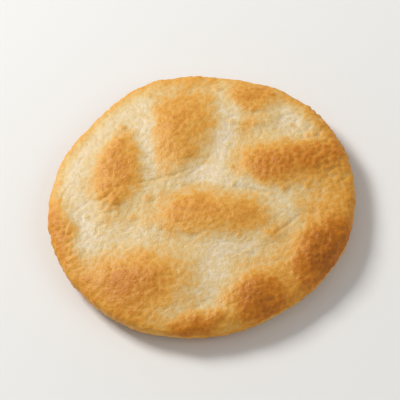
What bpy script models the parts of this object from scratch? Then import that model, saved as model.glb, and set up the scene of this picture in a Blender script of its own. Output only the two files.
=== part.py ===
"""A round puffed rice cracker, lying flat with its toasted face up.

The cracker is one solid: a turned blank with a soft pillow edge, whose two faces are then swollen by
the puffed domes that rise between paler, lower webs. The large domes underneath are pressed flat
where the cracker was toasted on its griddle, and it rests on those flat patches.

Frame: the origin is on the surface that the cracker rests on, under the middle of its box; +Z is up,
+X runs to the right and +Y away across the shown face. Lengths are written in millimetres times MM.
"""

import math
from typing import NamedTuple

import bpy

MM = 0.001

# Driving dimensions of the turned blank.
RADIUS = 32.3 * MM
MID_HEIGHT = 3.7 * MM
HALF_THICKNESS = 2.8 * MM
CAMBER = 0.6 * MM
EDGE_POWER = 4.0

# How finely the blank is turned.
TURN_STEPS = 80
FACE_RINGS = 16
EDGE_RINGS = 5

# A dome's side falls away as exp(-reach ** DOME_POWER), so it has a broad top and a clear foot.
DOME_POWER = 2.6

COLLECTION_NAME = "puffed_rice_cracker"
NODE_NAME = "rice_cracker"


class Dome(NamedTuple):
    """One puffed dome of a face, an oval that may be wider at one end."""

    x: float
    y: float
    half_length: float
    half_width: float
    turn_deg: float
    rise: float
    taper: float = 0.0


class Swell(NamedTuple):
    """A place where the outline stands out from the circle (or in, if rise is negative)."""

    angle_deg: float
    half_angle_deg: float
    rise: float


# The shown face, in millimetres and degrees: the large domes first, then the small ones at the rim.
TOP_DOMES = (
    Dome(-1.6, 16.0, 9.8, 6.8, 75, 1.5, 0.46),
    Dome(-15.6, 9.6, 9.8, 5.5, 76, 1.3, 0.1),
    Dome(20.2, 3.5, 11.4, 5.4, -2, 1.6, -0.05),
    Dome(2.0, -6.1, 11.8, 5.5, -14, 1.6),
    Dome(-14.0, -17.8, 9.6, 7.2, -10, 1.6, 0.1),
    Dome(7.3, -27.4, 6.8, 5.6, 20, 1.3),
    Dome(15.2, 22.0, 6.0, 4.0, -28, 1.1),
    Dome(23.1, -19.3, 9.0, 5.7, 48, 1.2),
    Dome(-30.2, -0.6, 8.4, 3.2, 92, 0.9),
    Dome(27.0, 15.2, 7.6, 3.0, -58, 0.7),
    Dome(-6.0, -30.0, 6.4, 3.0, 6, 0.8),
    Dome(12.8, -13.2, 2.8, 1.9, 20, 0.4),
    Dome(15.4, 15.8, 6.0, 2.0, 2, 0.4),
)

# The resting face, in the same frame. The first seven domes are pressed flat.
UNDER_DOMES = (
    Dome(0.6, -0.8, 8.6, 6.4, 25, 1.5),
    Dome(18.5, 3.5, 9.0, 5.6, 75, 1.4, 0.08),
    Dome(9.0, 18.0, 9.5, 5.4, -20, 1.5),
    Dome(-10.5, 17.0, 8.2, 6.0, 35, 1.4, -0.1),
    Dome(-19.5, 1.5, 9.0, 5.2, 85, 1.5),
    Dome(-11.5, -15.5, 8.8, 5.8, -30, 1.4, 0.1),
    Dome(7.0, -19.0, 9.2, 5.6, 10, 1.5),
    Dome(21.5, -13.5, 7.6, 4.6, 40, 1.2),
    Dome(24.5, 15.5, 6.0, 3.4, -55, 0.8),
    Dome(-3.5, 28.0, 7.0, 3.2, 4, 0.8),
    Dome(-25.5, 15.0, 6.2, 3.2, 55, 0.8),
    Dome(-24.5, -15.5, 6.6, 3.4, -50, 0.8),
    Dome(-3.0, -28.5, 6.2, 2.8, -5, 0.7),
)

OUTLINE_SWELLS = (
    Swell(101, 13, 1.0),
    Swell(64, 13, -0.7),
    Swell(128, 12, -0.5),
    Swell(3, 16, 0.3),
    Swell(-35, 18, 0.35),
    Swell(-72, 14, -0.25),
    Swell(-122, 20, 0.3),
    Swell(178, 15, 0.25),
)


def clear_scene() -> None:
    """Removes the objects that the file opened with."""
    for old in list(bpy.data.objects):
        bpy.data.objects.remove(old, do_unlink=True)


def dome_share(dome: Dome, x: float, y: float) -> float:
    """How much of its rise a dome has at (x, y): 1 on its top and near 0 beyond its foot."""
    turn = math.radians(dome.turn_deg)
    off_x = x / MM - dome.x
    off_y = y / MM - dome.y
    along = (off_x * math.cos(turn) + off_y * math.sin(turn)) / dome.half_length
    across = (off_y * math.cos(turn) - off_x * math.sin(turn)) / dome.half_width
    across /= 1 + dome.taper * max(-1.0, min(1.0, along))
    return math.exp(-math.hypot(along, across) ** DOME_POWER)


def relief(domes: tuple[Dome, ...], x: float, y: float) -> float:
    """The swelling of a face at (x, y), where the domes that meet blend into each other."""
    rises = [dome.rise * MM * dome_share(dome, x, y) for dome in domes]
    return math.sqrt(sum(rise * rise for rise in rises))


def outline_radius(angle: float) -> float:
    """The cracker's radius in this direction, round but for its soft swells."""
    radius = RADIUS
    for swell in OUTLINE_SWELLS:
        off = math.degrees(angle) - swell.angle_deg
        off = (off + 180) % 360 - 180
        radius += swell.rise * MM * math.exp(-((off / swell.half_angle_deg) ** 2))
    return radius


def pillow(out: float, up: float) -> tuple[float, float]:
    """The point of the blank's section, in shares of its radius and half thickness, towards (out, up)."""
    reach = (abs(out) ** EDGE_POWER + abs(up) ** EDGE_POWER) ** (-1 / EDGE_POWER)
    return out * reach, up * reach


def section_points() -> list[tuple[float, float]]:
    """The half section of the blank, from the middle of its top over the edge to the middle underneath."""
    top = [(ring / FACE_RINGS, 1.0) for ring in range(FACE_RINGS)]
    edge = [(1.0, 1.0 - ring / EDGE_RINGS) for ring in range(2 * EDGE_RINGS + 1)]
    under = [(out, -1.0) for out, _ in reversed(top)]
    return [pillow(out, up) for out, up in top + edge + under]


def turn_blank() -> bpy.types.Object:
    """Turns the half section into a closed blank whose height runs from -1 to 1 half thickness."""
    mesh = bpy.data.meshes.new("blank_section")
    points = [(out * RADIUS, 0.0, up * HALF_THICKNESS) for out, up in section_points()]
    edges = [(index, index + 1) for index in range(len(points) - 1)]
    mesh.from_pydata(points, edges, [])
    section = bpy.data.objects.new("blank_section", mesh)
    bpy.context.scene.collection.objects.link(section)
    screw = section.modifiers.new("turn", "SCREW")
    screw.axis = "Z"
    screw.angle = 2 * math.pi
    screw.steps = TURN_STEPS
    screw.render_steps = TURN_STEPS
    screw.use_merge_vertices = True
    screw.merge_threshold = 0.01 * MM
    screw.use_smooth_shade = True
    return section


def apply_modifiers(source: bpy.types.Object, name: str) -> bpy.types.Mesh:
    """The mesh that an object's modifiers make. The object itself is removed."""
    graph = bpy.context.evaluated_depsgraph_get()
    mesh = bpy.data.meshes.new_from_object(source.evaluated_get(graph))
    mesh.name = name
    bpy.data.objects.remove(source, do_unlink=True)
    return mesh


def swell_faces(mesh: bpy.types.Mesh) -> None:
    """Gives the blank its outline, its camber and the domes of both faces, and a flat underside."""
    for vertex in mesh.vertices:
        out = math.hypot(vertex.co.x, vertex.co.y) / RADIUS
        up = vertex.co.z / HALF_THICKNESS
        angle = math.atan2(vertex.co.y, vertex.co.x)
        radius = out * outline_radius(angle)
        x = radius * math.cos(angle)
        y = radius * math.sin(angle)
        half = HALF_THICKNESS
        if up > 0:
            half += CAMBER * (1 - out * out) + relief(TOP_DOMES, x, y)
        else:
            half += relief(UNDER_DOMES, x, y)
        vertex.co = (x, y, max(0.0, MID_HEIGHT + up * half))


def centre_on_origin(mesh: bpy.types.Mesh) -> None:
    """Moves the mesh so that the middle of its box is over the origin."""
    for axis in (0, 1):
        places = [vertex.co[axis] for vertex in mesh.vertices]
        middle = (min(places) + max(places)) / 2
        for vertex in mesh.vertices:
            vertex.co[axis] -= middle


def toasted_rice() -> bpy.types.Material:
    """The golden toasted rice of the crust."""
    material = bpy.data.materials.new("toasted_rice")
    material.use_nodes = True
    shader = material.node_tree.nodes["Principled BSDF"]
    shader.inputs["Base Color"].default_value = (0.72, 0.46, 0.18, 1.0)
    shader.inputs["Roughness"].default_value = 0.55
    shader.inputs["Metallic"].default_value = 0.0
    return material


def main() -> None:
    """Builds the cracker in its own collection."""
    clear_scene()
    collection = bpy.data.collections.new(COLLECTION_NAME)
    bpy.context.scene.collection.children.link(collection)
    mesh = apply_modifiers(turn_blank(), NODE_NAME)
    swell_faces(mesh)
    centre_on_origin(mesh)
    mesh.shade_smooth()
    mesh.materials.append(toasted_rice())
    collection.objects.link(bpy.data.objects.new(NODE_NAME, mesh))


main()
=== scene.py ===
"""The looks of a round puffed rice cracker that lies flat with its toasted face up.

The cracker is one piece of dough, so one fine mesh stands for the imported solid. A turned blank is evened
out into small quads and swollen by the domes that puffed up on the griddle. Small gas bubbles, blisters,
creases and rim ripples then roughen its crust. How dark each spot was toasted is stored on the mesh, and
the crust's material turns it into colour.

Lengths are millimetres on the baker's drawing, with +X to the right and +Y away across the shown face. The
mesh is in metres, and is settled last into the frame's box. Browning is a share from 0 to 1.
"""

import logging
import math
import random
from dataclasses import dataclass
from enum import Enum
from typing import ClassVar

import bmesh
import bpy
from mathutils import Euler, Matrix, Vector, kdtree, noise


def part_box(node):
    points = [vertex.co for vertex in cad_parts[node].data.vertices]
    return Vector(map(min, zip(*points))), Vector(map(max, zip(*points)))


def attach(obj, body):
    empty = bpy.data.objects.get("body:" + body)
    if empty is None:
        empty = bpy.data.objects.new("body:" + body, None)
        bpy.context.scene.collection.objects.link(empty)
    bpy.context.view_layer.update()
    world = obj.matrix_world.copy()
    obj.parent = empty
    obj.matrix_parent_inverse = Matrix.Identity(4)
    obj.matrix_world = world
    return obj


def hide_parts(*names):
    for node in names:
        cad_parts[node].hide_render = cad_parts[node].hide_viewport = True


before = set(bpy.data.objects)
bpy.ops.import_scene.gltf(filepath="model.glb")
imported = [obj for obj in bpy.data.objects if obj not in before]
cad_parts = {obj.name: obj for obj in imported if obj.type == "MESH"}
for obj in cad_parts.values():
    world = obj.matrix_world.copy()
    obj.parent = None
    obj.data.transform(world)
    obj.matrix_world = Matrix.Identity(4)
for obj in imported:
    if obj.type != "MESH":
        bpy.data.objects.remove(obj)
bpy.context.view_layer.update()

MM = 0.001
TURN = 360.0

NODE = "rice_cracker"
PIECE = "toasted_crust"
BODY = "root"

# Noise is read this far above or below the faces, in millimetres, so that they don't match.
FACE_APART = 40.0

# Past this many of its own radii, an oval leaves no mark.
OVAL_END = 2.0

# The sRGB curve is straight up to its knee, and a power above it.
FULL_BYTE = 255
SRGB_KNEE = 0.04045
SRGB_SLOPE = 12.92
SRGB_OFFSET = 0.055
SRGB_POWER = 2.4

# The colour sockets of a Mix node go by number, because they share their names with others.
MIX_FIRST = 6
MIX_SECOND = 7
MIX_RESULT = 2

# The noise that bends the blisters takes this seed, because it would otherwise take one from the clock.
NOISE_SEED = 7

log = logging.getLogger("rice_cracker")


class Face(Enum):
    """The two faces of the cracker."""

    SHOWN = 1
    RESTING = -1


class Mark(Enum):
    """What the mesh stores at each vertex for the crust's material to read."""

    TOAST = "toast"
    BLISTER = "blister"
    RIM = "rim"


def smoothstep(low: float, high: float, value: float) -> float:
    """A soft step from 0 at low to 1 at high.

    Args:
        low: Where the step starts.
        high: Where the step ends.
        value: Where it is read.

    Returns:
        The step's height there, from 0 to 1.
    """
    share = max(0.0, min(1.0, (value - low) / (high - low)))
    return share * share * (3 - 2 * share)


def placed(name: str, data: bpy.types.ID) -> bpy.types.Object:
    """Adds an object to the scene.

    Args:
        name: The object's name.
        data: Its mesh, light or camera.

    Returns:
        The new object, at the origin.
    """
    made = bpy.data.objects.new(name, data)
    bpy.context.scene.collection.objects.link(made)
    return made


@dataclass(frozen=True)
class Oval:
    """An oval on a face: its middle, its half length and half width, and its turn in degrees.

    A higher edge power makes its mark flatter inside and firmer at its edge.
    """

    x: float
    y: float
    half_length: float
    half_width: float
    turn: float

    edge_power: ClassVar[float] = 2.0

    def reach(self, x: float, y: float, taper: float = 0.0) -> float:
        """How far (x, y) is from the oval's middle, where 1 is its edge.

        Args:
            x: Place to the right, in millimetres.
            y: Place away across the face, in millimetres.
            taper: How much wider the oval is at its far end.

        Returns:
            The distance as a share of the oval's radius in that direction.
        """
        turn = math.radians(self.turn)
        off_x = x - self.x
        off_y = y - self.y
        along = (off_x * math.cos(turn) + off_y * math.sin(turn)) / self.half_length
        across = (off_y * math.cos(turn) - off_x * math.sin(turn)) / self.half_width
        across /= 1 + taper * max(-1.0, min(1.0, along))
        return math.hypot(along, across)

    def mark(self, x: float, y: float) -> float:
        """How much of the oval's mark shows at (x, y).

        Args:
            x: Place to the right, in millimetres.
            y: Place away across the face, in millimetres.

        Returns:
            1 in its middle, about a third at its edge and 0 well outside.
        """
        reach = self.reach(x, y)
        return math.exp(-(reach**self.edge_power)) if reach < OVAL_END else 0.0


@dataclass(frozen=True)
class Dome(Oval):
    """A puffed dome: it rises this many millimetres, and browned this much where it met the griddle.

    Its taper is how much wider it is at its far end. Its browning is an even patch with a firm edge, and a
    smaller darker middle.
    """

    rise: float
    taper: float
    toast: float

    edge_power: ClassVar[float] = 5.0
    foot_power: ClassVar[float] = 2.6
    middle_toast: ClassVar[float] = 0.28
    middle_radius: ClassVar[float] = 0.6

    def swelling(self, x: float, y: float) -> float:
        """How high the dome stands at (x, y), with a broad top and a clear foot.

        Args:
            x: Place to the right, in millimetres.
            y: Place away across the face, in millimetres.

        Returns:
            The height there, in millimetres.
        """
        return self.rise * math.exp(-(self.reach(x, y, self.taper) ** self.foot_power))

    def browning(self, x: float, y: float) -> float:
        """How much the dome browned at (x, y).

        Args:
            x: Place to the right, in millimetres.
            y: Place away across the face, in millimetres.

        Returns:
            The browning there, from 0 to the dome's toast.
        """
        reach = self.reach(x, y, self.taper)
        if reach > OVAL_END:
            return 0.0
        patch = math.exp(-(reach**self.edge_power))
        middle = math.exp(-((reach / self.middle_radius) ** 2))
        return self.toast * ((1 - self.middle_toast) * patch + self.middle_toast * middle)


@dataclass(frozen=True)
class Glow(Oval):
    """A wide faint gold around and between the domes."""

    toast: float

    def browning(self, x: float, y: float) -> float:
        """How much the dough turned gold at (x, y)."""
        return self.toast * self.mark(x, y)


@dataclass(frozen=True)
class Web(Oval):
    """A pale stretch of dough that stayed low between the domes and hardly browned."""

    paleness: float

    edge_power: ClassVar[float] = 2.6

    def share(self, x: float, y: float) -> float:
        """How pale the web keeps the dough at (x, y)."""
        return self.paleness * self.mark(x, y)


@dataclass(frozen=True)
class Patch(Oval):
    """A patch where the blisters stand up to this many millimetres taller."""

    height: float

    edge_power: ClassVar[float] = 3.0

    def extra(self, x: float, y: float) -> float:
        """How much taller the blisters are at (x, y), in millimetres."""
        return self.height * self.mark(x, y)


@dataclass(frozen=True)
class Bubble:
    """A small gas bubble that lifted the skin and browned on its tip."""

    x: float
    y: float
    radius: float
    height: float

    def cap(self, x: float, y: float) -> float:
        """How much of the bubble stands at (x, y).

        Args:
            x: Place to the right, in millimetres.
            y: Place away across the face, in millimetres.

        Returns:
            1 on its tip, falling to 0 at its edge.
        """
        return max(0.0, 1 - (math.hypot(x - self.x, y - self.y) / self.radius) ** 2)


@dataclass(frozen=True)
class Swell:
    """A place where the outline stands out from the circle, or in where its rise is negative.

    Its angles are degrees and its rise is millimetres.
    """

    angle: float
    half_angle: float
    rise: float


@dataclass(frozen=True)
class Crease:
    """A thin wrinkle in a web, from one point to another."""

    start: tuple[float, float]
    end: tuple[float, float]
    depth: float
    half_width: float = 0.35

    def depth_at(self, x: float, y: float) -> float:
        """How deep the wrinkle is at (x, y).

        Args:
            x: Place to the right, in millimetres.
            y: Place away across the face, in millimetres.

        Returns:
            The depth there, in millimetres.
        """
        run_x = self.end[0] - self.start[0]
        run_y = self.end[1] - self.start[1]
        length = math.hypot(run_x, run_y)
        along = ((x - self.start[0]) * run_x + (y - self.start[1]) * run_y) / length
        across = ((x - self.start[0]) * run_y - (y - self.start[1]) * run_x) / length
        past_end = max(0.0, -along, along - length)
        return self.depth * math.exp(-((math.hypot(across, past_end) / self.half_width) ** 2))


@dataclass(frozen=True)
class Ripple:
    """Soft noise that swings this far to either side, over this span.

    Its shift sets it apart from others of its span.
    """

    swing: float
    span: float
    shift: float = 0.0

    def at(self, place: Vector) -> float:
        """Its value at a place, from minus its swing to its swing."""
        return self.swing * noise.noise(place / self.span + Vector((self.shift, 0, 0)))


@dataclass(frozen=True)
class FacePlan:
    """Everything that marks one face of the cracker."""

    domes: tuple[Dome, ...]
    glows: tuple[Glow, ...] = ()
    webs: tuple[Web, ...] = ()
    rough_patches: tuple[Patch, ...] = ()
    bubbles: tuple[Bubble, ...] = ()
    creases: tuple[Crease, ...] = ()

    def swelling(self, x: float, y: float) -> float:
        """How high the domes stand at (x, y), in millimetres, where those that meet blend together."""
        return math.hypot(*(dome.swelling(x, y) for dome in self.domes))

    def cream(self, x: float, y: float) -> float:
        """How much of the dough's cream is left at (x, y), after its domes and glows browned."""
        return math.prod(1 - oval.browning(x, y) for oval in (*self.domes, *self.glows))

    def leanness(self, x: float, y: float) -> float:
        """How far (x, y) is from the pale webs: 0 in a pale one, and 1 away from all."""
        return math.prod(1 - web.share(x, y) for web in self.webs)

    def roughness(self, x: float, y: float) -> float:
        """How much taller the blisters are at (x, y), in millimetres."""
        return sum(patch.extra(x, y) for patch in self.rough_patches)

    def crease_depth(self, x: float, y: float) -> float:
        """How deep the creases are at (x, y), in millimetres."""
        return sum(crease.depth_at(x, y) for crease in self.creases)


# The shown face. Its domes are the large ones first, then the small ones at the rim and between. Two marks
# near the lower rim are toasted darker, partly as painted shade.
SHOWN_PLAN = FacePlan(
    domes=(
        Dome(-1.6, 16.0, 9.8, 6.8, 75, 1.5, 0.46, 0.38),
        Dome(-15.6, 9.6, 9.8, 5.5, 76, 1.3, 0.1, 0.41),
        Dome(20.2, 3.5, 11.4, 5.4, -2, 1.6, -0.05, 0.63),
        Dome(2.0, -6.1, 11.8, 5.5, -14, 1.6, 0.0, 0.34),
        Dome(-14.0, -17.8, 9.6, 7.2, -10, 1.6, 0.1, 0.36),
        Dome(7.3, -27.4, 6.8, 5.6, 20, 1.3, 0.0, 0.72),
        Dome(15.2, 22.0, 6.0, 4.0, -28, 1.1, 0.0, 0.42),
        # Partly painted shade: this lower right dome is brown, and its toast is raised further to paint the
        # shadow there.
        Dome(23.1, -19.3, 9.0, 5.7, 48, 1.2, 0.0, 0.8),
        Dome(-30.2, -0.6, 8.4, 3.2, 92, 0.9, 0.0, 0.44),
        Dome(27.0, 15.2, 7.6, 3.0, -58, 0.7, 0.0, 0.26),
        Dome(-6.0, -30.0, 6.4, 3.0, 6, 0.8, 0.0, 0.5),
        Dome(12.8, -13.2, 2.8, 1.9, 20, 0.4, 0.0, 0.2),
        Dome(15.4, 15.8, 6.0, 2.0, 2, 0.4, 0.0, 0.16),
    ),
    glows=(
        Glow(0.4, 25.0, 6.6, 5.0, 0, 0.22),
        Glow(13.4, 21.4, 7.0, 4.6, -28, 0.13),
        Glow(30.0, 4.0, 7.0, 4.0, -80, 0.23),
        Glow(27.0, -6.8, 8.0, 5.4, 80, 0.2),
        # Partly painted shade: this glow is gold, and it also darkens the lower left rim where shadow falls.
        Glow(-21.2, -18.0, 10.0, 6.2, -40, 0.44),
        Glow(-19.6, 9.4, 11.0, 5.4, 72, 0.16),
        Glow(-5.0, -2.8, 9.4, 5.0, -15, 0.24),
        Glow(12.6, 6.0, 5.6, 4.0, 20, 0.12),
        Glow(10.4, -8.2, 4.6, 3.4, -20, 0.16),
        Glow(18.5, -20.0, 12.0, 8.0, 50, 0.32),
    ),
    webs=(
        Web(-9.0, 16.0, 10.5, 2.1, 84, 1.0),
        Web(8.0, 14.0, 10.0, 2.4, 68, 0.9),
        Web(9.6, 23.0, 5.5, 1.8, 88, 0.9),
        Web(3.4, 5.0, 6.0, 3.0, -10, 0.8),
        Web(-5.5, 3.8, 6.0, 1.8, 8, 0.5),
        Web(9.5, 0.6, 6.0, 1.8, -25, 0.9),
        Web(-25.0, -0.6, 9.0, 2.2, 92, 1.0),
        Web(-19.0, -6.2, 9.5, 3.2, -6, 0.5),
        Web(-0.6, -18.6, 8.5, 3.6, 72, 0.6),
        Web(16.6, -9.0, 7.5, 3.0, 105, 0.6),
        Web(7.0, -14.0, 9.0, 3.0, -15, 0.6),
        Web(-23.5, 14.6, 11.0, 4.4, 50, 0.75),
        Web(22.5, 15.0, 7.0, 4.0, -30, 0.7),
        Web(-11.5, 25.0, 8.0, 3.4, 28, 0.6),
        Web(-21.6, 1.6, 5.0, 2.4, 80, 0.5),
        Web(-14.6, -0.6, 5.0, 2.6, 20, 0.4),
    ),
    rough_patches=(
        Patch(-18.2, 3.2, 3.4, 2.6, 60, 0.28),
        Patch(28.0, 6.0, 12.0, 4.0, 100, 0.2),
        Patch(25.0, -16.0, 8.0, 4.0, 50, 0.16),
        Patch(-30.0, -4.0, 5.0, 2.4, 95, 0.14),
        Patch(20.0, 3.5, 10.0, 4.4, -2, 0.09),
    ),
    bubbles=(
        Bubble(25.8, 9.8, 1.5, 0.3),
        Bubble(-10.6, 1.6, 1.3, 0.22),
        Bubble(-20.2, 4.6, 1.2, 0.3),
        Bubble(-17.6, 2.4, 1.2, 0.3),
        Bubble(17.8, -2.6, 1.2, 0.22),
        Bubble(8.6, 26.4, 1.3, 0.22),
    ),
    creases=(
        Crease((-11.5, 5.9), (-4.0, 5.9), 0.18),
        Crease((-4.0, 5.9), (-1.0, 6.6), 0.16),
        Crease((8.0, -0.1), (14.0, -3.1), 0.28),
        Crease((14.0, -13.3), (19.6, -10.0), 0.22),
        Crease((20.0, -9.1), (23.0, -10.1), 0.16),
        Crease((9.0, 15.9), (14.0, 14.9), 0.16),
    ),
)

# The resting face, in the same frame. It lay on the griddle, so its large domes browned evenly.
RESTING_PLAN = FacePlan(
    domes=(
        Dome(0.6, -0.8, 8.6, 6.4, 25, 1.5, 0.0, 0.75),
        Dome(18.5, 3.5, 9.0, 5.6, 75, 1.4, 0.08, 0.8),
        Dome(9.0, 18.0, 9.5, 5.4, -20, 1.5, 0.0, 0.7),
        Dome(-10.5, 17.0, 8.2, 6.0, 35, 1.4, -0.1, 0.78),
        Dome(-19.5, 1.5, 9.0, 5.2, 85, 1.5, 0.0, 0.7),
        Dome(-11.5, -15.5, 8.8, 5.8, -30, 1.4, 0.1, 0.82),
        Dome(7.0, -19.0, 9.2, 5.6, 10, 1.5, 0.0, 0.72),
        Dome(21.5, -13.5, 7.6, 4.6, 40, 1.2, 0.0, 0.66),
        Dome(24.5, 15.5, 6.0, 3.4, -55, 0.8, 0.0, 0.5),
        Dome(-3.5, 28.0, 7.0, 3.2, 4, 0.8, 0.0, 0.5),
        Dome(-25.5, 15.0, 6.2, 3.2, 55, 0.8, 0.0, 0.5),
        Dome(-24.5, -15.5, 6.6, 3.4, -50, 0.8, 0.0, 0.5),
        Dome(-3.0, -28.5, 6.2, 2.8, -5, 0.7, 0.0, 0.5),
    ),
)

PLANS = {Face.SHOWN: SHOWN_PLAN, Face.RESTING: RESTING_PLAN}

OUTLINE_SWELLS = (
    Swell(101, 13, 1.0),
    Swell(64, 13, -0.7),
    Swell(128, 12, -0.5),
    Swell(3, 16, 0.3),
    Swell(-35, 18, 0.35),
    Swell(-72, 14, -0.25),
    Swell(-122, 20, 0.3),
    Swell(178, 15, 0.25),
)


@dataclass(frozen=True)
class Spot:
    """One spot of the surface before its fine relief is added.

    Out is 1 at the rim, and up runs from 1 on the shown face to -1 on the resting one.
    """

    x: float
    y: float
    out: float
    up: float
    angle: float
    face: Face

    def heading(self, rise: float = 0.0) -> Vector:
        """The direction of the spot from the cracker's middle, raised by this much of its up."""
        return Vector((math.cos(self.angle), math.sin(self.angle), rise * self.up))


@dataclass(frozen=True)
class StrayBubbles:
    """Small bubbles scattered over a face, at least a gap apart, with radii from least to most.

    Radii and the gap are millimetres, and how far out they go is a share of the cracker's radius. A bubble
    is its slope times its radius high.
    """

    seed: int = 7
    count: int = 36
    least_radius: float = 0.7
    most_radius: float = 1.4
    slope: float = 0.16
    gap: float = 3.2
    farthest_out: float = 0.96

    def scatter(self, face: Face, radius: float) -> tuple[Bubble, ...]:
        """Scatters the bubbles of a face.

        Args:
            face: The face that they rise on.
            radius: The cracker's radius, in millimetres.

        Returns:
            The face's own bubbles, and the stray ones after them.
        """
        draw = random.Random(self.seed + face.value)
        bubbles = list(PLANS[face].bubbles)
        wanted = len(bubbles) + self.count
        while len(bubbles) < wanted:
            out = self.farthest_out * radius * math.sqrt(draw.random())
            angle = 2 * math.pi * draw.random()
            size = draw.uniform(self.least_radius, self.most_radius)
            bubble = Bubble(out * math.cos(angle), out * math.sin(angle), size, self.slope * size)
            if all(math.hypot(bubble.x - other.x, bubble.y - other.y) > self.gap for other in bubbles):
                bubbles.append(bubble)
        return tuple(bubbles)


@dataclass(frozen=True)
class Toasting:
    """How the dough coloured on the griddle: straw all over, gold at the rim, and brown on its domes.

    The edges of the brown patches stray by a millimetre or so. The rim's mottle is read by direction, so
    its span is a share of the radius.
    """

    straw: float = 0.29
    straw_mottle: tuple[Ripple, ...] = (Ripple(0.08, 9.0), Ripple(0.06, 2.8))
    straying: tuple[Ripple, ...] = (Ripple(1.1, 4.5), Ripple(0.4, 1.7))
    cross_shift: tuple[float, float, float] = (31.0, 7.0, 3.0)
    rim_start: float = 0.86
    rim_gold: float = 0.26
    rim_mottle: Ripple = Ripple(0.14, 0.4)
    rim_kept_in_web: float = 0.5
    bubble_tip: float = 0.2

    def rim(self, spot: Spot) -> float:
        """How much of the rim's colour a spot has, from 0 inside to 1 at the rim."""
        return smoothstep(self.rim_start, 1.0, spot.out)

    def level(self, spot: Spot, cap: float) -> float:
        """How dark a spot was toasted.

        Args:
            spot: A spot of the crust.
            cap: How much of a bubble stands there, from 0 to 1.

        Returns:
            0 where the dough stayed cream, up to about 1 where it is brown.
        """
        plan = PLANS[spot.face]
        place = Vector((spot.x, spot.y, FACE_APART * spot.face.value))
        x = spot.x + sum(ripple.at(place) for ripple in self.straying)
        y = spot.y + sum(ripple.at(place + Vector(self.cross_shift)) for ripple in self.straying)
        leanness = plan.leanness(x, y)
        rim_gold = self.rim_gold + self.rim_mottle.at(spot.heading())
        rim_gold *= self.rim_kept_in_web + (1 - self.rim_kept_in_web) * leanness
        straw = leanness * (self.straw + sum(ripple.at(place) for ripple in self.straw_mottle))
        cream = plan.cream(x, y) * (1 - rim_gold * self.rim(spot)) * (1 - straw)
        return 1 - cream * (1 - self.bubble_tip * cap)


@dataclass(frozen=True)
class Relief:
    """The fine relief of the crust: lumps, tiny blisters, rim ripples and the wrinkles of damp dough.

    Heights, depths and spans are millimetres, apart from the rim ripple's span, which is a share of the
    radius. Each blister stands in a bent cell, and its radius is a share of the cell's span. It is low and
    even where the dough stayed damp, and taller and less even where it toasted dry.
    """

    lumps: tuple[Ripple, ...] = (Ripple(0.18, 4.5), Ripple(0.08, 2.2))
    damp_toast: float = 0.15
    dry_toast: float = 0.6
    cell_span: float = 1.1
    cell_bend: float = 0.18
    cell_bend_span: float = 1.3
    blister_radius: float = 0.8
    blister_size: Ripple = Ripple(1.0, 3.0, 50.0)
    size_swing: float = 0.5
    damp_height: float = 0.075
    damp_size_height: float = 0.03
    dry_height: float = 0.03
    dry_size_height: float = 0.11
    rim_start: float = 0.9
    rim_ripple: Ripple = Ripple(0.16, 1 / 18)
    rim_rise: float = 0.05
    wrinkles: Ripple = Ripple(1.0, 3.2, 9.0)
    wrinkle_width: float = 0.12
    wrinkle_depth: float = 0.13

    def blister(self, place: Vector) -> float:
        """How much of a blister stands at a place.

        Args:
            place: The place on the puffed surface, in millimetres.

        Returns:
            1 on its tip, falling to 0 between blisters.
        """
        cell = place / self.cell_span + self.cell_bend * noise.noise_vector(place / self.cell_bend_span)
        nearest = noise.voronoi(cell)[0][0]
        return max(0.0, 1 - (nearest / self.blister_radius) ** 2)

    def blister_height(self, place: Vector, spot: Spot, dryness: float) -> float:
        """How tall the blisters are at a place.

        Args:
            place: The place on the puffed surface, in millimetres.
            spot: The spot that it came from.
            dryness: How dry the toasting left it, from 0 to 1.

        Returns:
            Their height, in millimetres.
        """
        size = smoothstep(-self.size_swing, self.size_swing, self.blister_size.at(place))
        damp = self.damp_height + self.damp_size_height * size
        dry = self.dry_height + self.dry_size_height * size
        return damp + dry * dryness + PLANS[spot.face].roughness(spot.x, spot.y)

    def height(self, place: Vector, spot: Spot, toast: float, blister: float) -> float:
        """How far the surface stands out at a place.

        Args:
            place: The place on the puffed surface, in millimetres.
            spot: The spot that it came from.
            toast: How dark the spot was toasted.
            blister: How much of a blister stands there, from 0 to 1.

        Returns:
            The height, in millimetres.
        """
        dryness = smoothstep(self.damp_toast, self.dry_toast, toast)
        height = sum(ripple.at(place) for ripple in self.lumps)
        height += blister * self.blister_height(place, spot, dryness)
        height += smoothstep(self.rim_start, 1.0, spot.out) * self.rim_ripple.at(spot.heading(self.rim_rise))
        wrinkle = max(0.0, 1 - abs(self.wrinkles.at(place)) / self.wrinkle_width)
        height -= self.wrinkle_depth * wrinkle * (1 - dryness)
        return height - PLANS[spot.face].crease_depth(spot.x, spot.y)


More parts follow.
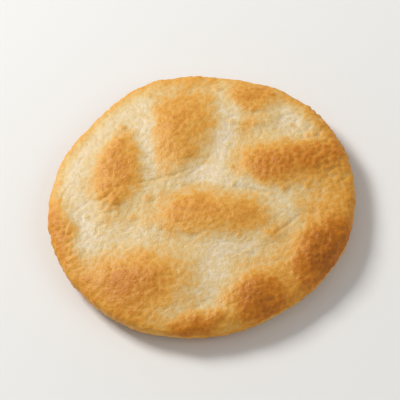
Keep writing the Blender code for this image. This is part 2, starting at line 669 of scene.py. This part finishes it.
@dataclass
class Crust:
    """The cracker's whole surface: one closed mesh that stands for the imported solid.

    Its sizes are millimetres. A higher edge power makes its edge fuller.
    """

    radius: float = 32.3
    mid_height: float = 3.7
    half_thickness: float = 2.8
    camber: float = 0.6
    edge_power: float = 4.0
    section_steps: int = 48
    turn_steps: int = 128
    quad: float = 0.285
    merge: float = 0.01
    stray_bubbles: StrayBubbles = StrayBubbles()
    toasting: Toasting = Toasting()
    relief: Relief = Relief()

    def build(self) -> bpy.types.Object:
        """Builds the crust's mesh with its relief and its toasting.

        Returns:
            The finished crust, linked to the scene.
        """
        crust = placed(PIECE, self.even_out(self.turn_blank()))
        self.puff(crust.data)
        return crust

    def section(self) -> list[tuple[float, float]]:
        """The half section of the blank, from the middle of the top over the edge to the middle below.

        Returns:
            Points as shares of the radius and of the half thickness.
        """
        points = []
        for step in range(self.section_steps + 1):
            lean = math.pi * (0.5 - step / self.section_steps)
            out, up = math.cos(lean), math.sin(lean)
            reach = (abs(out) ** self.edge_power + abs(up) ** self.edge_power) ** (-1 / self.edge_power)
            points.append((out * reach, up * reach))
        return points

    def turn_blank(self) -> bpy.types.Object:
        """Turns the half section into a closed pillow-edged disc.

        Returns:
            The blank, linked to the scene.
        """
        bm = bmesh.new()
        verts = [
            bm.verts.new((out * self.radius * MM, 0.0, up * self.half_thickness * MM))
            for out, up in self.section()
        ]
        edges = [bm.edges.new(pair) for pair in zip(verts, verts[1:])]
        bmesh.ops.spin(
            bm,
            geom=verts + edges,
            cent=(0.0, 0.0, 0.0),
            axis=(0.0, 0.0, 1.0),
            angle=2 * math.pi,
            steps=self.turn_steps,
            use_merge=True,
        )
        bmesh.ops.remove_doubles(bm, verts=bm.verts, dist=self.merge * MM)
        bmesh.ops.recalc_face_normals(bm, faces=bm.faces)
        mesh = bpy.data.meshes.new("blank")
        bm.to_mesh(mesh)
        bm.free()
        return placed(mesh.name, mesh)

    def even_out(self, blank: bpy.types.Object) -> bpy.types.Mesh:
        """Remeshes the blank into small even quads, and removes the blank.

        Args:
            blank: The turned blank.

        Returns:
            The even mesh.
        """
        remesh = blank.modifiers.new("even", "REMESH")
        remesh.mode = "VOXEL"
        remesh.voxel_size = self.quad * MM
        remesh.use_smooth_shade = True
        graph = bpy.context.evaluated_depsgraph_get()
        mesh = bpy.data.meshes.new_from_object(blank.evaluated_get(graph))
        mesh.name = PIECE
        bpy.data.objects.remove(blank, do_unlink=True)
        return mesh

    def outline(self, angle: float) -> float:
        """The cracker's radius in this direction, round but for its soft swells.

        Args:
            angle: Direction from +X, in radians.

        Returns:
            The radius, in millimetres.
        """
        radius = self.radius
        for swell in OUTLINE_SWELLS:
            off = (math.degrees(angle) - swell.angle + TURN / 2) % TURN - TURN / 2
            radius += swell.rise * math.exp(-((off / swell.half_angle) ** 2))
        return radius

    def spot(self, place: Vector) -> Spot:
        """Reads where a vertex of the blank lies on the cracker.

        Args:
            place: The vertex, in metres.

        Returns:
            Its spot on the drawing.
        """
        out = math.hypot(place.x, place.y) / (self.radius * MM)
        up = place.z / (self.half_thickness * MM)
        angle = math.atan2(place.y, place.x)
        radius = out * self.outline(angle)
        face = Face.SHOWN if up > 0 else Face.RESTING
        return Spot(radius * math.cos(angle), radius * math.sin(angle), out, up, angle, face)

    def puffed(self, spot: Spot) -> Vector:
        """Where a spot lies once the domes have puffed up.

        Args:
            spot: A spot of the blank.

        Returns:
            Its place above the resting surface, in millimetres.
        """
        half = self.half_thickness + PLANS[spot.face].swelling(spot.x, spot.y)
        if spot.face is Face.SHOWN:
            half += self.camber * (1 - spot.out * spot.out)
        return Vector((spot.x, spot.y, max(0.0, self.mid_height + spot.up * half)))

    def puff(self, mesh: bpy.types.Mesh) -> None:
        """Gives the even blank its domes, its fine relief and its toasting.

        Args:
            mesh: The even mesh, changed in place.
        """
        bm = bmesh.new()
        bm.from_mesh(mesh)
        layers = {mark: bm.verts.layers.float.new(mark.value) for mark in Mark}
        bubbles = {face: self.stray_bubbles.scatter(face, self.radius) for face in Face}
        maps = {face: self.plot(bubbles[face]) for face in Face}
        spots = [self.spot(vert.co) for vert in bm.verts]
        for vert, spot in zip(bm.verts, spots):
            vert.co = self.puffed(spot) * MM
        bm.normal_update()
        moves = []
        for vert, spot in zip(bm.verts, spots):
            _, nearest, _ = maps[spot.face].find((spot.x, spot.y, 0.0))
            bubble = bubbles[spot.face][nearest]
            cap = bubble.cap(spot.x, spot.y)
            toast = self.toasting.level(spot, cap)
            place = vert.co / MM
            blister = self.relief.blister(place)
            height = self.relief.height(place, spot, toast, blister) + bubble.height * cap
            vert[layers[Mark.TOAST]] = toast
            vert[layers[Mark.BLISTER]] = blister
            vert[layers[Mark.RIM]] = self.toasting.rim(spot)
            moves.append(vert.normal * height * MM)
        for vert, move in zip(bm.verts, moves):
            vert.co += move
            vert.co.z = max(0.0, vert.co.z)
        self.settle(bm)
        bm.to_mesh(mesh)
        bm.free()
        mesh.shade_smooth()

    def plot(self, bubbles: tuple[Bubble, ...]) -> kdtree.KDTree:
        """Plots the bubbles' middles, so that the nearest one is found quickly.

        Args:
            bubbles: The bubbles of one face.

        Returns:
            A balanced tree of their places on the drawing.
        """
        tree = kdtree.KDTree(len(bubbles))
        for index, bubble in enumerate(bubbles):
            tree.insert((bubble.x, bubble.y, 0.0), index)
        tree.balance()
        return tree

    def settle(self, bm: bmesh.types.BMesh) -> None:
        """Scales and moves the crust by a hair so that it fills the frame's box.

        Args:
            bm: The crust.
        """
        low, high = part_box(NODE)
        for axis, (start, end) in enumerate(zip(low, high)):
            places = [vert.co[axis] for vert in bm.verts]
            least, most = min(places), max(places)
            scale = (end - start) / (most - least)
            for vert in bm.verts:
                vert.co[axis] = start + (vert.co[axis] - least) * scale


def linear(hex_colour: str) -> tuple[float, float, float, float]:
    """The linear colour, with alpha 1, of an sRGB hex colour.

    Args:
        hex_colour: Six hex digits after a hash.

    Returns:
        Red, green, blue and alpha, each from 0 to 1.
    """
    shares = [byte / FULL_BYTE for byte in bytes.fromhex(hex_colour[1:])]
    red, green, blue = (
        share / SRGB_SLOPE
        if share <= SRGB_KNEE
        else ((share + SRGB_OFFSET) / (1 + SRGB_OFFSET)) ** SRGB_POWER
        for share in shares
    )
    return (red, green, blue, 1.0)


def node(
    tree: bpy.types.NodeTree, kind: str, inputs: dict[str | int, object] | None = None, **settings: str
) -> bpy.types.Node:
    """Adds a node with its settings, its values and its links.

    Args:
        tree: The nodes that it joins.
        kind: The node's type name.
        inputs: A value, or another node's output, for each named or numbered input.
        settings: The node's own settings.

    Returns:
        The new node.
    """
    made = tree.nodes.new(kind)
    for name, value in settings.items():
        setattr(made, name, value)
    for name, value in (inputs or {}).items():
        if isinstance(value, bpy.types.NodeSocket):
            tree.links.new(value, made.inputs[name])
        else:
            made.inputs[name].default_value = value
    return made


@dataclass(frozen=True)
class Pattern:
    """Fine noise in a finish: its span in millimetres, how much finer detail it has and how sharp that is.

    Its shift is how far it lightens and darkens the toasting.
    """

    span: float
    detail: float
    sharpness: float
    shift: float

    def inputs(self, in_mm: bpy.types.NodeSocket) -> dict[str | int, object]:
        """What the noise reads, at places on the object in millimetres."""
        fineness = {"Scale": 1 / self.span, "Detail": self.detail, "Roughness": self.sharpness}
        return {"Vector": in_mm, **fineness}


@dataclass(frozen=True)
class ToastedRice:
    """Puffed rice dough toasted on a griddle: cream starch that browns to gold and amber.

    Its thin crust lets a little light in, and a brushed film of oil gives it a soft broken gloss. All round
    the thin rim a pale yellow is multiplied in, as a painted highlight for the warm light that the rim
    catches.
    Its mottle follows the clumps of pounded rice, a little over a millimetre wide. Its grain is the dough's
    grit, which is drawn coarser than the real one so that it shows.
    """

    cream: str = "#dfceb1"
    straw: str = "#d6b87f"
    gold: str = "#d79c42"
    amber: str = "#c0751a"
    brown: str = "#8e4d08"
    # Painted highlight: this pale yellow and its share tint the rim as if it caught the light.
    rim_highlight_tint: str = "#fff6c8"
    rim_highlight_share: float = 0.65
    ior: float = 1.45
    specular: float = 0.26
    subsurface: float = 0.1
    subsurface_radius: tuple[float, float, float] = (1.0, 0.6, 0.3)
    subsurface_depth: float = 0.3
    mottle: Pattern = Pattern(1.4, 3.0, 0.6, 0.24)
    grain: Pattern = Pattern(0.45, 2.0, 0.5, 0.2)
    blister_shift: float = 0.14
    mottle_ends: tuple[float, float] = (0.3, 0.7)
    dry_roughness: float = 0.56
    oily_roughness: float = 0.34
    bump_strength: float = 0.7
    bump_depth: float = 0.22

    def material(self) -> bpy.types.Material:
        """Makes the crust's material.

        Returns:
            A node material that reads the crust's toast, blister and rim attributes.
        """
        material = bpy.data.materials.new("griddle_toasted_rice_crust")
        material.use_nodes = True
        tree = material.node_tree
        shader = tree.nodes["Principled BSDF"]
        shader.inputs["IOR"].default_value = self.ior
        shader.inputs["Specular IOR Level"].default_value = self.specular
        shader.inputs["Subsurface Weight"].default_value = self.subsurface
        shader.inputs["Subsurface Radius"].default_value = self.subsurface_radius
        shader.inputs["Subsurface Scale"].default_value = self.subsurface_depth * MM
        on_object = node(tree, "ShaderNodeTexCoord").outputs["Object"]
        to_mm = {"Vector": on_object, "Scale": (1 / MM, 1 / MM, 1 / MM)}
        in_mm = node(tree, "ShaderNodeMapping", to_mm).outputs["Vector"]
        mottle = node(tree, "ShaderNodeTexNoise", self.mottle.inputs(in_mm)).outputs["Fac"]
        grain = node(tree, "ShaderNodeTexNoise", self.grain.inputs(in_mm)).outputs["Fac"]
        tree.links.new(self.colour(tree, mottle, grain), shader.inputs["Base Color"])
        low, high = self.mottle_ends
        values = {
            "Value": mottle,
            "From Min": low,
            "From Max": high,
            "To Min": self.dry_roughness,
            "To Max": self.oily_roughness,
        }
        roughness = node(tree, "ShaderNodeMapRange", values).outputs["Result"]
        tree.links.new(roughness, shader.inputs["Roughness"])
        values = {"Height": grain, "Strength": self.bump_strength, "Distance": self.bump_depth * MM}
        bump = node(tree, "ShaderNodeBump", values).outputs["Normal"]
        tree.links.new(bump, shader.inputs["Normal"])
        return material

    def colour(
        self, tree: bpy.types.NodeTree, mottle: bpy.types.NodeSocket, grain: bpy.types.NodeSocket
    ) -> bpy.types.NodeSocket:
        """Colours the crust by how dark it was toasted, with the fine patterns mixed in.

        Args:
            tree: The material's nodes.
            mottle: The wider pattern, from 0 to 1.
            grain: The finer pattern, from 0 to 1.

        Returns:
            The crust's colour.
        """
        marks = {
            mark: node(tree, "ShaderNodeAttribute", attribute_name=mark.value).outputs["Fac"] for mark in Mark
        }
        level = marks[Mark.TOAST]
        shifts = (
            (mottle, self.mottle.shift),
            (grain, self.grain.shift),
            (marks[Mark.BLISTER], self.blister_shift),
        )
        for pattern, amount in shifts:
            level = self.shifted(tree, level, pattern, amount)
        ramp = node(tree, "ShaderNodeValToRGB", {"Fac": level})
        colours = (self.cream, self.straw, self.gold, self.amber, self.brown)
        stops = ramp.color_ramp.elements
        stops.remove(stops[-1])
        for index, colour in enumerate(colours):
            stop = stops.new(index / (len(colours) - 1)) if index else stops[0]
            stop.color = linear(colour)
        # Painted highlight: the rim is multiplied by a pale yellow, as if the light caught it.
        values = {0: marks[Mark.RIM], 1: self.rim_highlight_share}
        share = node(tree, "ShaderNodeMath", values, operation="MULTIPLY").outputs["Value"]
        values = {"Factor": share, MIX_FIRST: ramp.outputs["Color"], MIX_SECOND: linear(self.rim_highlight_tint)}
        highlight_tinted = node(tree, "ShaderNodeMix", values, data_type="RGBA", blend_type="MULTIPLY")
        return highlight_tinted.outputs[MIX_RESULT]

    def shifted(
        self,
        tree: bpy.types.NodeTree,
        level: bpy.types.NodeSocket,
        pattern: bpy.types.NodeSocket,
        amount: float,
    ) -> bpy.types.NodeSocket:
        """Adds a pattern, read about its middle, to a level.

        Args:
            tree: The material's nodes.
            level: The level so far.
            pattern: A pattern from 0 to 1.
            amount: How much of the pattern is added.

        Returns:
            The shifted level.
        """
        values = {0: pattern, 1: amount, 2: -amount / 2}
        centred = node(tree, "ShaderNodeMath", values, operation="MULTIPLY_ADD").outputs["Value"]
        return node(tree, "ShaderNodeMath", {0: level, 1: centred}, operation="ADD").outputs["Value"]


@dataclass(frozen=True)
class PaperSweep:
    """Pale matte paper, with no gloss, so that it shows soft shadows and little else."""

    colour: str = "#e4e2de"
    roughness: float = 0.8

    def material(self) -> bpy.types.Material:
        """Makes the floor's material.

        Returns:
            A matte material of one colour.
        """
        material = bpy.data.materials.new("matte_paper_sweep")
        material.use_nodes = True
        shader = material.node_tree.nodes["Principled BSDF"]
        shader.inputs["Base Color"].default_value = linear(self.colour)
        shader.inputs["Roughness"].default_value = self.roughness
        return material


@dataclass(frozen=True)
class Lamp:
    """A square light that faces the cracker: where it hangs and its side in metres, and its watts."""

    name: str
    place: tuple[float, float, float]
    side: float
    power: float

    def hang(self) -> None:
        """Hangs the light."""
        light = bpy.data.lights.new(self.name, "AREA")
        light.size = self.side
        light.energy = self.power
        lamp = placed(self.name, light)
        lamp.location = self.place
        lamp.rotation_euler = (-Vector(self.place)).to_track_quat("-Z", "Y").to_euler()


@dataclass
class Studio:
    """A pale round floor, soft light from the upper left, and a camera that looks down on the cracker.

    The floor's radius and the camera's distance are metres, its lens millimetres, and its elevation and
    roll degrees. The room is brightest at its horizon and dims up its walls to the ceiling's light, which
    it reaches at the wall height, a share of the way to straight up.
    """

    floor_radius: float = 0.6
    floor_sides: int = 96
    paper: PaperSweep = PaperSweep()
    lamps: tuple[Lamp, ...] = (
        Lamp("key", (-0.35, 0.4, 0.46), 0.25, 4.65),
        Lamp("fill", (0.5, -0.35, 0.5), 0.5, 1.0),
    )
    wall_light: float = 0.88
    ceiling_light: float = 0.34
    wall_height: float = 0.5
    elevation: float = 56.4
    roll: float = 11.8
    lens: float = 240.0
    distance: float = 0.56

    def build(self) -> None:
        """Builds the floor, the lights and the camera."""
        self.lay_floor()
        for lamp in self.lamps:
            lamp.hang()
        self.light_room()
        self.place_camera()
        log.info("studio: floor, %d lamps, camera", len(self.lamps))

    def lay_floor(self) -> None:
        """Lays the pale floor that the cracker rests on."""
        bm = bmesh.new()
        bmesh.ops.create_circle(bm, cap_ends=True, segments=self.floor_sides, radius=self.floor_radius)
        mesh = bpy.data.meshes.new("pale_floor")
        bm.to_mesh(mesh)
        bm.free()
        mesh.materials.append(self.paper.material())
        placed(mesh.name, mesh)

    def light_room(self) -> None:
        """Lights the white room around the floor."""
        world = bpy.data.worlds.new("white_room")
        world.use_nodes = True
        tree = world.node_tree
        direction = node(tree, "ShaderNodeTexCoord").outputs["Generated"]
        values = {
            "Value": node(tree, "ShaderNodeSeparateXYZ", {"Vector": direction}).outputs["Z"],
            "From Min": 0.0,
            "From Max": self.wall_height,
            "To Min": self.wall_light,
            "To Max": self.ceiling_light,
        }
        light = node(tree, "ShaderNodeMapRange", values).outputs["Result"]
        background = tree.nodes["Background"]
        background.inputs["Color"].default_value = (1.0, 1.0, 1.0, 1.0)
        tree.links.new(light, background.inputs["Strength"])
        bpy.context.scene.world = world

    def place_camera(self) -> None:
        """Places the camera in front of the cracker, looking down on its face."""
        low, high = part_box(NODE)
        data = bpy.data.cameras.new("camera")
        data.lens = self.lens
        camera = placed(data.name, data)
        lift = math.radians(self.elevation)
        back = Vector((0.0, -math.cos(lift), math.sin(lift)))
        camera.location = (low + high) / 2 + back * self.distance
        look = Euler((math.pi / 2 - lift, 0.0, 0.0)).to_matrix()
        tilt = Euler((0.0, 0.0, -math.radians(self.roll))).to_matrix()
        camera.rotation_euler = (look @ tilt).to_euler()
        bpy.context.scene.camera = camera


def main() -> None:
    """Builds the cracker's crust and the studio around it."""
    logging.basicConfig(level=logging.INFO, format="%(name)s: %(message)s")
    bpy.context.scene.view_settings.view_transform = "Standard"
    noise.seed_set(NOISE_SEED)
    crust = Crust().build()
    crust.data.materials.clear()
    crust.data.materials.append(ToastedRice().material())
    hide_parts(NODE)
    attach(crust, BODY)
    log.info("%s: %d quads", crust.name, len(crust.data.polygons))
    Studio().build()


if __name__ == "__main__":
    main()
